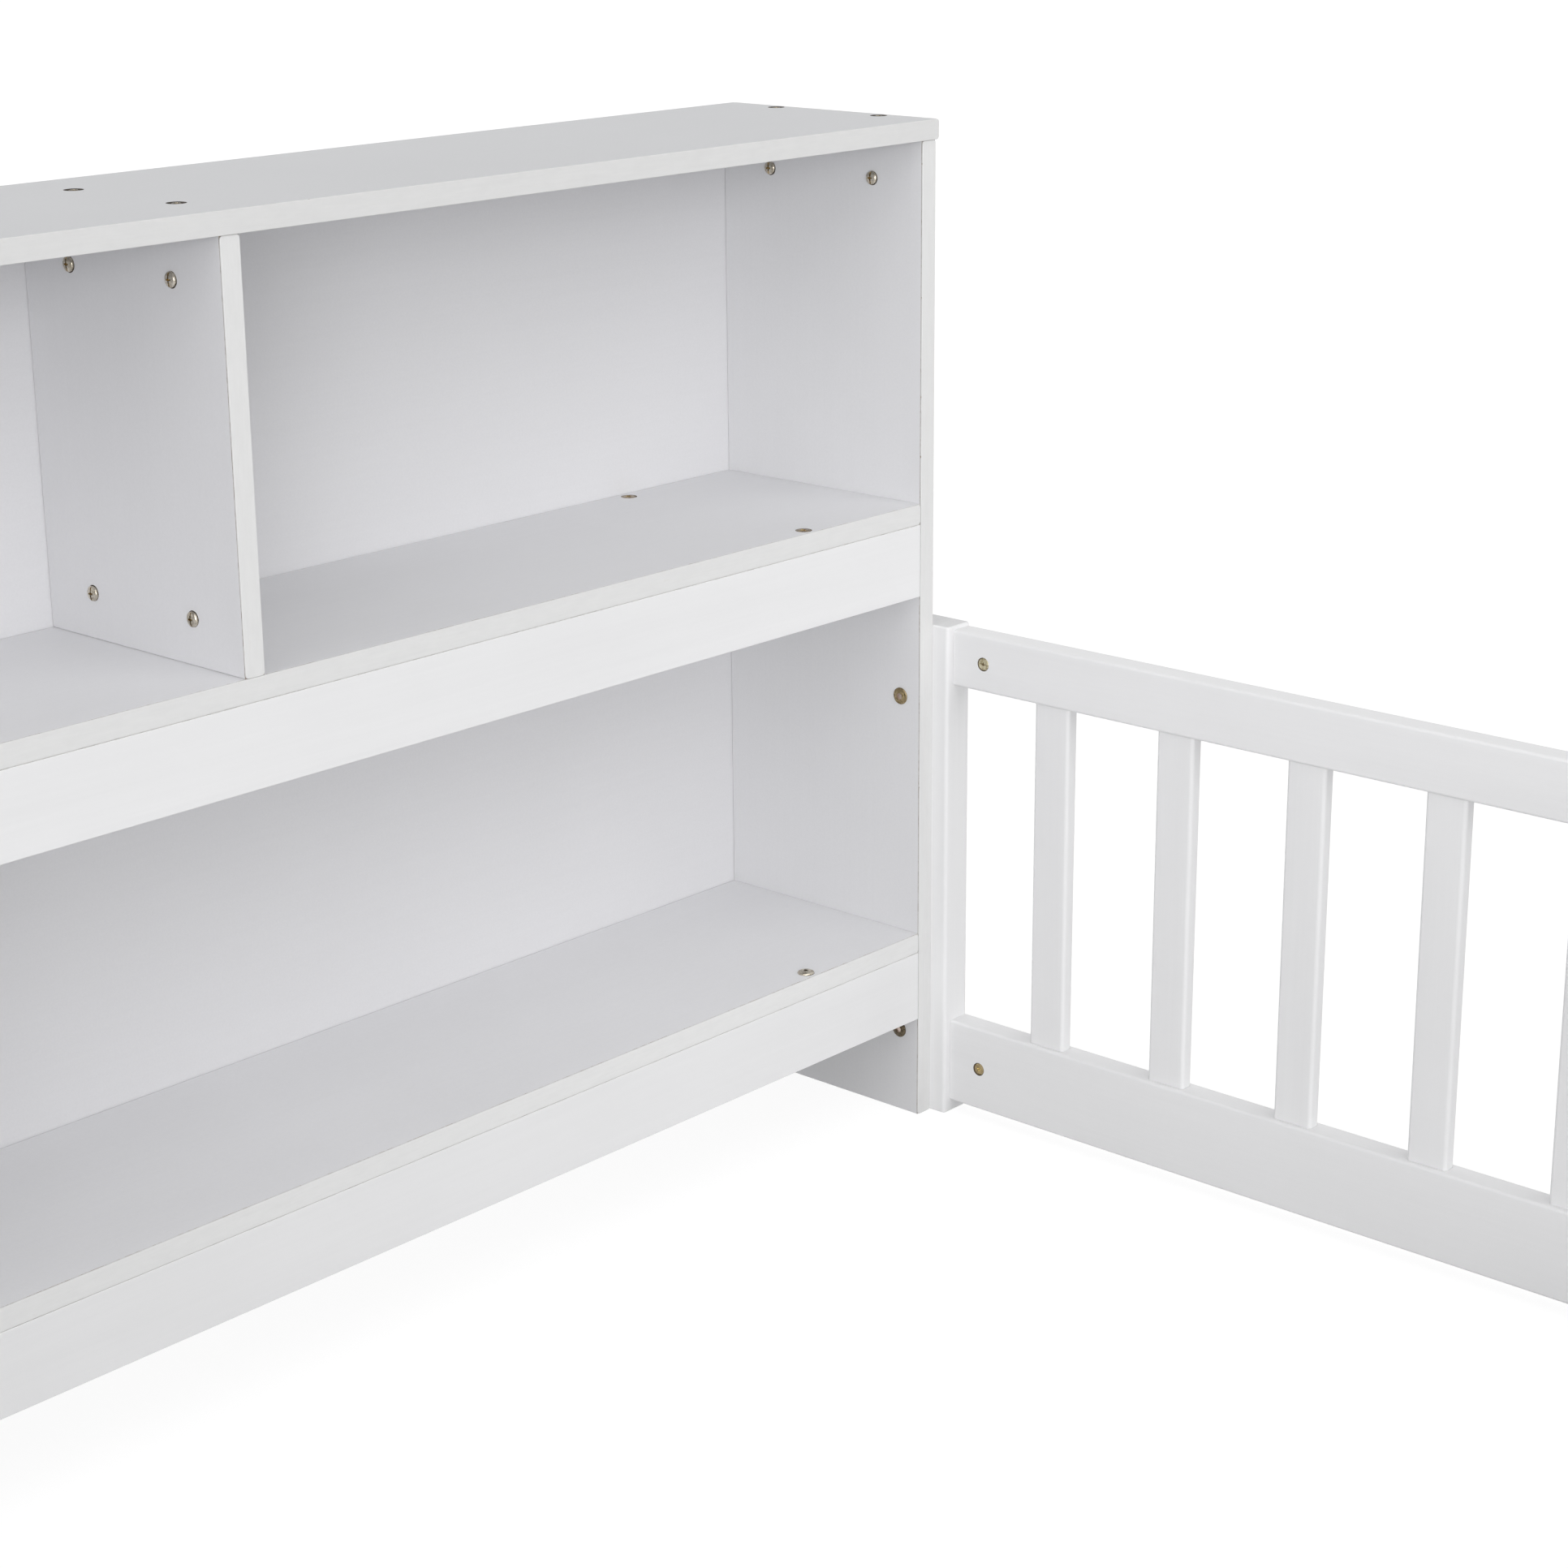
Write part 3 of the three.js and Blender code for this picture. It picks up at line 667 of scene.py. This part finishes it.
def board(node, along, coating, banding=UPRIGHT_BAND, notches=(), gaps=(1, 1), ends=False):
    """A coated board that stands for a CAD node, with a strip on its front edge, and on its ends if asked.

    The gaps say whether it has a narrow gap at its low and high end.
    """
    axis = "XYZ".index(along)
    low, high = (Vector(corner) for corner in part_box(node))
    low[axis] += gaps[0] * END_GAP
    high[axis] -= gaps[1] * END_GAP
    if high.y < case_back - BACK_REACH:
        high.y -= BACK_GAP
    behind, inset = low.y + BAND, low.y + BAND + GLUE  # where the strip ends, and where the board begins
    end_inset = BAND + GLUE if ends else 0
    core_low = Vector((low.x + end_inset, inset, low.z))
    core_high = Vector((high.x - end_inset, high.y, high.z))
    bm = bmesh.new()
    eased_block(bm, core_low, core_high, BOARD_EASING)
    core = finished(f"{node}_board", bm, [coating])

    short, drop = (STRIP_GAP, STRIP_DROP) if along == "X" and not ends else (0, 0)
    strip_low = Vector((low.x + short, low.y, low.z - drop))
    strip_high = Vector((high.x - short, behind, high.z))
    strips = [(strip_low, strip_high, 1, (BAND_EASING, BAND_BACK_EASING))]
    joints = [(Vector((core_low.x, behind, low.z)), Vector((core_high.x, inset, high.z)))]
    if ends:
        low_strip = Vector((low.x, behind, low.z)), Vector((low.x + BAND, high.y, high.z))
        high_strip = Vector((high.x - BAND, behind, low.z)), high
        strips.append((*low_strip, 0, (BAND_EASING, BAND_BACK_EASING)))
        strips.append((*high_strip, 0, (BAND_BACK_EASING, BAND_EASING)))
        joints.append((Vector((low.x + BAND, inset, low.z)), Vector((core_low.x, high.y, high.z))))
        joints.append((Vector((core_high.x, inset, low.z)), Vector((high.x - BAND, high.y, high.z))))
    bm = bmesh.new()
    for strip_low, strip_high, thin, roundings in strips:
        bar(bm, strip_low, strip_high, thin, BAND_CORNER, roundings)
    band = finished(f"{node}_edge_strip", bm, [banding])
    bm = bmesh.new()
    sink = Vector((GLUE_SINK, 0, GLUE_SINK))
    for joint_low, joint_high in joints:
        block(bm, joint_low + sink, joint_high - sink)
    seam = finished(f"{node}_glue_line", bm, [GLUE_LINE[along]])

    for piece, material in ((core, coating), (band, banding), (seam, GLUE_LINE[along])):
        if notches:
            cut_blocks(piece, notches, material)
        if node in chips:
            knock(piece, chips[node])
    # The top board's bolt holes get walls darkened with painted shade.
    cut_holes(core, node, HOLE_SHADE_RAW if node == "top_board" else RAW)
    dress(core, "board_white", node)
    dress(band, "board_white")
    dress(seam, "board_white")


seam_y = case_front + BAND
chips = {"top_board": [(Vector((TOP_CHIP_X, case_front, top_face)), TOP_CHIP)]}  # node: places and sizes
for sign, side in ((1, "right"), (-1, "left")):
    chips[f"side_panel_{side}"] = [(Vector((sign * x_inner, seam_y, z)), size * MM) for z, size in SIDE_CHIPS]
for number, x in ((1, -divider_x), (2, divider_x)):
    corner = Vector((x - BOARD / 2 + DIVIDER_CHIP_INSET, seam_y, side_top))
    chips[f"upper_divider_{number}"] = [(corner, DIVIDER_CHIP)]

# The top board's coating and strip are darkened with painted shade.
board("top_board", "X", TOP_SHADED_COATING, TOP_SHADED_BAND, gaps=(0, 0), ends=True)
board("middle_shelf", "X", SHELF_COATING, SHELF_BAND)
# The lower shelf's coating and strip are lightened with painted light.
board("lower_shelf", "X", LOWER_SHELF_LIT_COATING, LOWER_SHELF_LIT_BAND)
for sign, side in ((1, "right"), (-1, "left")):
    x_low, x_high = sorted((sign * (x_inner - PAST), sign * (panel_high.x + NOTCH_GAP)))
    rabbet_low = Vector((x_low, panel_low.y - BACK_GAP, -PAST))
    rabbet_high = Vector((x_high, case_back + PAST, side_top + PAST))
    board(f"side_panel_{side}", "Z", SIDE_COATING, notches=[(rabbet_low, rabbet_high)], gaps=(0, 1))
# The dividers wear a coating darkened with painted shade.
for number in (1, 2):
    board(f"upper_divider_{number}", "Z", DIVIDER_SHADED_COATING)
notches = []
for row, before, behind in (("front", PAST, NOTCH_GAP), ("rear", NOTCH_GAP, PAST)):
    low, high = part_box(f"middle_{row}_batten")
    notch_low = Vector((-BOARD, low.y - before, low.z - NOTCH_GAP))
    notch_high = Vector((BOARD, high.y + behind, high.z + PAST))
    notches.append((notch_low, notch_high))
board("lower_divider", "Z", SIDE_COATING, notches=notches)
board("centre_foot", "Z", SIDE_COATING, gaps=(0, 1))

for node in ("back_panel_upper", "back_panel_lower"):
    bm = bmesh.new()
    eased_block(bm, *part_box(node), BACK_EASING)
    panel = finished(f"{node}_sheet", bm, [BACK_PRINT])
    cut_holes(panel, node, RAW)
    dress(panel, "back_white", node)


# Beads of paint in the joints between the shelves and their front battens

for prefix in ("middle", "lower"):
    low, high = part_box(f"{prefix}_front_batten")
    front = low.y + BEAD_SINK
    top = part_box(f"{prefix}_shelf")[0].z - STRIP_DROP
    bm = bmesh.new()
    block(bm, (low.x, front, high.z - TOUCH), (high.x, front + BEAD_DEPTH, top + TOUCH))
    bead = finished(f"{prefix}_joint_bead", bm, [JOINT_PAINT])
    dress(bead, "timber_white")


# Timber: battens, posts, rails and slats

def timber(node, axis, rounding, end_rounding, mortises=(), ends=False, gap=0.0):
    """A piece of painted timber that stands for a CAD node, with its grain along one axis."""
    low, high = (Vector(corner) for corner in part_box(node))
    low[axis] += gap
    high[axis] -= gap
    bm = bmesh.new()
    bar(bm, low, high, axis, rounding, (end_rounding,) * 2)
    materials = [TIMBER["XYZ"[axis]]]
    if ends:
        materials.append(END_GRAIN)
        bm.normal_update()
        for face in bm.faces:
            face.material_index = int(abs(face.normal[axis]) > 0.99)
    piece = finished(f"{node}_painted", bm, materials)
    if mortises:
        bm = bmesh.new()
        for low, high in mortises:
            bar(bm, low, high, 2, SLAT_ROUNDING + MORTISE_GAP, (MORTISE_END_ROUNDING,) * 2)
        carve(piece, finished("mortises", bm, [TIMBER["Z"]]))
    cut_holes(piece, node, RAW)
    dress(piece, "timber_white", node)


for prefix in ("middle", "lower"):
    for row in ("front", "rear"):
        timber(f"{prefix}_{row}_batten", 0, BATTEN_EASING, BATTEN_END_ROUNDING, gap=BATTEN_GAP)
for side in ("right", "left"):
    for kind in ("rear", "corner", "gate"):
        timber(f"{kind}_post_{side}", 2, POST_ROUNDING, POST_END_ROUNDING, ends=True)
    for guard, axis, count in ((f"{side}_guard", 1, 8), (f"front_{side}_guard", 0, 4)):
        slats = [f"{guard}_slat_{i}" for i in range(1, count + 1)]
        grown = Vector((MORTISE_GAP,) * 3)
        mortises = [(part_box(slat)[0] - grown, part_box(slat)[1] + grown) for slat in slats]
        for row in ("top", "bottom"):
            timber(f"{guard}_{row}_rail", axis, RAIL_ROUNDING, RAIL_END_ROUNDING, mortises)
        for slat in slats:
            timber(slat, 2, SLAT_ROUNDING, SLAT_END_ROUNDING)


# Fasteners. Every number about them is in millimetres.

PIT_SIDES = 16
PIT_MOUTH, PIT_FLOOR = 0.3, 0.12  # radii of a cross recess's middle, as shares of its length
PIT_DROP = 0.7  # how much deeper it is than the arms
SOCKET_TAPER = 0.12
PAST_HEAD = 12  # longer than any head is wide


def arms(material, length, width, top, bottom, turn=0.0):
    """A driver slot's cutter."""
    x, y = length * MM / 2, width * MM / 2
    bm = bmesh.new()
    block(bm, (-x, -y, bottom * MM), (x, y, top * MM))
    bmesh.ops.rotate(bm, matrix=Matrix.Rotation(turn, 3, "Z"), verts=bm.verts)
    return finished("slot", bm, [material])


def turned(bm, profile, sides=HOLE_SIDES):
    """A closed turned shape about local Z, from a profile in millimetres."""
    revolved(bm, [(radius * MM, height * MM) for radius, height in profile], Matrix.Identity(4), sides)


def tapered(material, sides, top_radius, bottom_radius, top, bottom):
    """A socket's cutter."""
    bm = bmesh.new()
    turned(bm, [(0, bottom), (bottom_radius, bottom), (top_radius, top), (0, top)], sides)
    return finished("socket", bm, [material])


def turned_part(name, material, profile, cutters):
    """A fastener about local Z, with the board's face at height 0."""
    bm = bmesh.new()
    turned(bm, profile)
    piece = finished(name, bm, [material])
    for cutter in cutters:
        carve(piece, cutter)
    return piece


def dome(radius, base, height):
    """A shallow dome's profile from its rim to its pole."""
    turn = [math.pi / 2 * i / DOME_STEPS for i in range(DOME_STEPS)]
    return [*((radius * math.cos(a), base + height * math.sin(a)) for a in turn), (0, base + height)]


def cross(material, length, width, top, bottom):
    """A cross recess, deepest at its middle."""
    pit = tapered(material, PIT_SIDES, length * PIT_MOUTH, length * PIT_FLOOR, top, bottom - PIT_DROP)
    slots = [arms(material, length, width, top, bottom, turn) for turn in (0, math.radians(90))]
    return [*slots, pit]


def hexagon(material, radius, top, bottom):
    """A hexagon socket."""
    return [tapered(material, 6, radius, radius - SOCKET_TAPER, top, bottom)]


def full_slot(material, width, top, bottom):
    """A slot across the whole head."""
    return [arms(material, PAST_HEAD, width, top, bottom, math.radians(90))]


SHANK = [(0, -14.5), (2.5, -14.5), (2.5, -3.7)]
WIDE_HEAD = [
    (0, -17.5), (3, -17.5), (3, 0), (6.6, 0), (6.75, 0.25), (6.7, 0.8), (6.4, 1.1), (4.7, 1.25),
    (4.4, 1.6), (4.0, 1.8), (0, 1.8)]
FASTENERS = (  # kind, metal, profile and cutters
    # The domed nut's slot and cross wear dull zinc as painted shade in the recess.
    ("domed_nut", ZINC, [(0, -12), (5.05, -12), *dome(5.05, 1.05, 1.6)],
     [*full_slot(DULL_ZINC_AND_SHADE, 1.05, 4, 1.75), *cross(DULL_ZINC_AND_SHADE, 4.2, 1.15, 4, 1.0)]),
    # The flat nut's slot and cross wear dull zinc as painted shade in the recess.
    ("flat_nut", PALE_ZINC,
     [(0, -16), (5.05, -16), (5.05, -0.7), (4.9, -0.4), (4.6, -0.28), (4.3, -0.3), (4.1, -0.1), (0, 0)],
     [*full_slot(DULL_ZINC_AND_SHADE, 0.4, 1, -0.18), *cross(DULL_ZINC_AND_SHADE, 3.2, 0.9, 1, -0.7)]),
    # The lower rail nut is darkened with painted shade, and its cross recess lightened with a painted glint.
    ("low_nut", DULL_ZINC_AND_SHADE,
     [(0, -16), (5.05, -16), (5.05, -0.9), (4.7, -0.6), (4.2, -0.62), (3.1, -0.85), (2.7, -0.6), (0, -0.55)],
     cross(GLINT_ZINC, 3.4, 1.1, 1, -1.1)),
    # The sunk bolt's head is darkened with painted shade.
    ("sunk_bolt", SHADE_DARKENED_ZINC,
     [(0, -14.5), (3, -14.5), (3, -4), (5.5, -1.6), (5.3, -1.3), (3.5, -1.1), (2.9, -0.25), (2.6, -0.1),
      (0, -0.1)],
     hexagon(ZINC, 2.1, 1, -2.6)),
    # The sunk screw's cross recess is lightened with a painted glint.
    ("sunk_screw", WARM_ZINC, [*SHANK, (5.7, -0.45), (5.6, -0.1), (4, 0.25), (0, 0.42)],
     cross(GLINT_ZINC, 5.0, 1.5, 1, -0.6)),
    # The domed screw's hexagon socket is darkened with painted shade.
    ("domed_screw", ZINC, [*SHANK, (6.3, 0.02), (6.5, 0.45), *dome(6.3, 0.95, 1.35)[:-1], (0, 2.28)],
     hexagon(RECESS_SHADE, 1.8, 4, 0.7)),
    ("wide_bolt", DULL_ZINC_AND_SHADE, WIDE_HEAD, hexagon(SOCKET, 2.9, 4, 0.9)),
    # The low post bolt: the wide bolt again, in zinc darkened with painted shade.
    ("dark_bolt", SHADE_DARKENED_ZINC, WIDE_HEAD, hexagon(SOCKET, 2.9, 4, 0.9)),
    # The small screw's cross recess is darkened with painted shade.
    ("small_screw", ZINC, [(0, -12), (1.4, -12), (1.4, -1.5), (2.95, -0.1), (2.6, 0.05), (0, 0.15)],
     cross(RECESS_SHADE, 3.0, 0.7, 1, -0.5)),
)
kinds = {name: turned_part(name, *details) for name, *details in FASTENERS}
METALS = [ZINC, PALE_ZINC, DULL_ZINC_AND_SHADE, SHADE_DARKENED_ZINC, SOCKET, GLINT_ZINC, RECESS_SHADE, WARM_ZINC]


def assembled(name, items):
    """One piece made of several fasteners in their places."""
    bm = bmesh.new()
    for kind, matrix in items:
        part = bmesh.new()
        part.from_mesh(kinds[kind].data)
        own = [METALS.index(material) for material in kinds[kind].data.materials]
        for face in part.faces:
            face.material_index = own[face.material_index]
        bmesh.ops.transform(part, matrix=matrix, verts=part.verts)
        merge(bm, part)
    return finished(name, bm, METALS)


for name, items in fasteners.items():
    dress(assembled(name, items), "zinc")
for node, matrix in post_bolts.items():
    # The low post bolts wear zinc darkened with painted shade.
    kind = "dark_bolt" if node.endswith("low") else "wide_bolt"
    dress(assembled(f"{node}_plated", [(kind, matrix)]), "zinc", node)
for template in kinds.values():
    mesh = template.data
    bpy.data.objects.remove(template)
    bpy.data.meshes.remove(mesh)


# Floor, light and camera

FLOOR_HALF = 24.0
FLOOR_SINK = 0.05 * MM
FLOOR_COLOUR = 0.56  # for the light that it throws back
FLOOR_WHITE = 0.88  # what the camera sees of it before its own shading
SHADOW_SHARE = 0.2  # how much of the floor's own shading the camera sees on its white
WORLD_STRENGTH = 0.45
REAR_FILL = "rear fill"  # lights the back, and isn't mirrored on level faces
SOFTBOXES = (  # name, strength, angle in degrees, and where it shines from
    ("left softbox", 1.2, 60, (-1, -0.1, 0.25)),
    ("low softbox", 1.68, 30, (-0.65, -0.76, 0.03)),
    ("front softbox", 1.03, 60, (0, -0.7, 0.7)),
    (REAR_FILL, 0.75, 60, (0.55, 0.8, 0.26)),
)
SENSOR_WIDTH = 36.0  # millimetres
FOCAL_LENGTH = 3956.8  # pixels
CAMERA_PLACE = (-0.88706, -1.13040, 1.04611)
CAMERA_TURN = (72.5462, 0.4444, -48.0099)  # degrees
FAR_CLIP = 200


def seen(tree):
    """1 for what the camera sees, directly or through gloss or glass, and 0 for light on its way."""
    rays = add(tree, "ShaderNodeLightPath", {}).outputs
    both = larger(tree, rays["Is Camera Ray"], rays["Is Glossy Ray"])
    return larger(tree, both, rays["Is Transmission Ray"])


def floor_material():
    """White with a faint shadow where it is seen, and a darker floor for the light that it throws back."""
    material = bpy.data.materials.new("pale floor")
    material.use_nodes = True
    tree = material.node_tree
    tree.nodes.clear()
    lit = add(tree, "ShaderNodeBsdfDiffuse", {"Color": (FLOOR_COLOUR,) * 3 + (1,)}).outputs[0]
    faint = add(tree, "ShaderNodeBsdfDiffuse", {"Color": (SHADOW_SHARE,) * 3 + (1,)}).outputs[0]
    white = add(tree, "ShaderNodeEmission", {"Strength": FLOOR_WHITE}).outputs[0]
    shown = add(tree, "ShaderNodeAddShader", {0: white, 1: faint}).outputs[0]
    surface = add(tree, "ShaderNodeMixShader", {0: seen(tree), 1: lit, 2: shown}).outputs[0]
    add(tree, "ShaderNodeOutputMaterial", {"Surface": surface})
    return material


bm = bmesh.new()
corners = [(-1, -1), (1, -1), (1, 1), (-1, 1)]
bm.faces.new([bm.verts.new((x * FLOOR_HALF, y * FLOOR_HALF, -FLOOR_SINK)) for x, y in corners])
finished("floor", bm, [floor_material()])

world = bpy.data.worlds.new("studio")
world.use_nodes = True
bpy.context.scene.world = world
tree = world.node_tree
tree.nodes.clear()
strength = between(tree, seen(tree), WORLD_STRENGTH, 1.0, 0.0, 1.0)
sky = add(tree, "ShaderNodeBackground", {"Color": (1, 1, 1, 1), "Strength": strength}).outputs[0]
add(tree, "ShaderNodeOutputWorld", {"Surface": sky})

for name, strength, angle, source in SOFTBOXES:
    softbox = bpy.data.objects.new(name, bpy.data.lights.new(name, "SUN"))
    softbox.data.energy = strength
    softbox.data.angle = math.radians(angle)
    softbox.rotation_euler = Vector(source).to_track_quat("Z", "Y").to_euler()
    softbox.visible_glossy = name != REAR_FILL
    bpy.context.scene.collection.objects.link(softbox)

camera = bpy.data.objects.new("camera", bpy.data.cameras.new("camera"))
camera.data.sensor_width = SENSOR_WIDTH
camera.data.lens = FOCAL_LENGTH / OUTPUT_SIDE * SENSOR_WIDTH
camera.location = CAMERA_PLACE
camera.rotation_euler = [math.radians(angle) for angle in CAMERA_TURN]
camera.data.clip_end = FAR_CLIP
bpy.context.scene.collection.objects.link(camera)
bpy.context.scene.camera = camera
bpy.context.scene.view_settings.view_transform = "Standard"
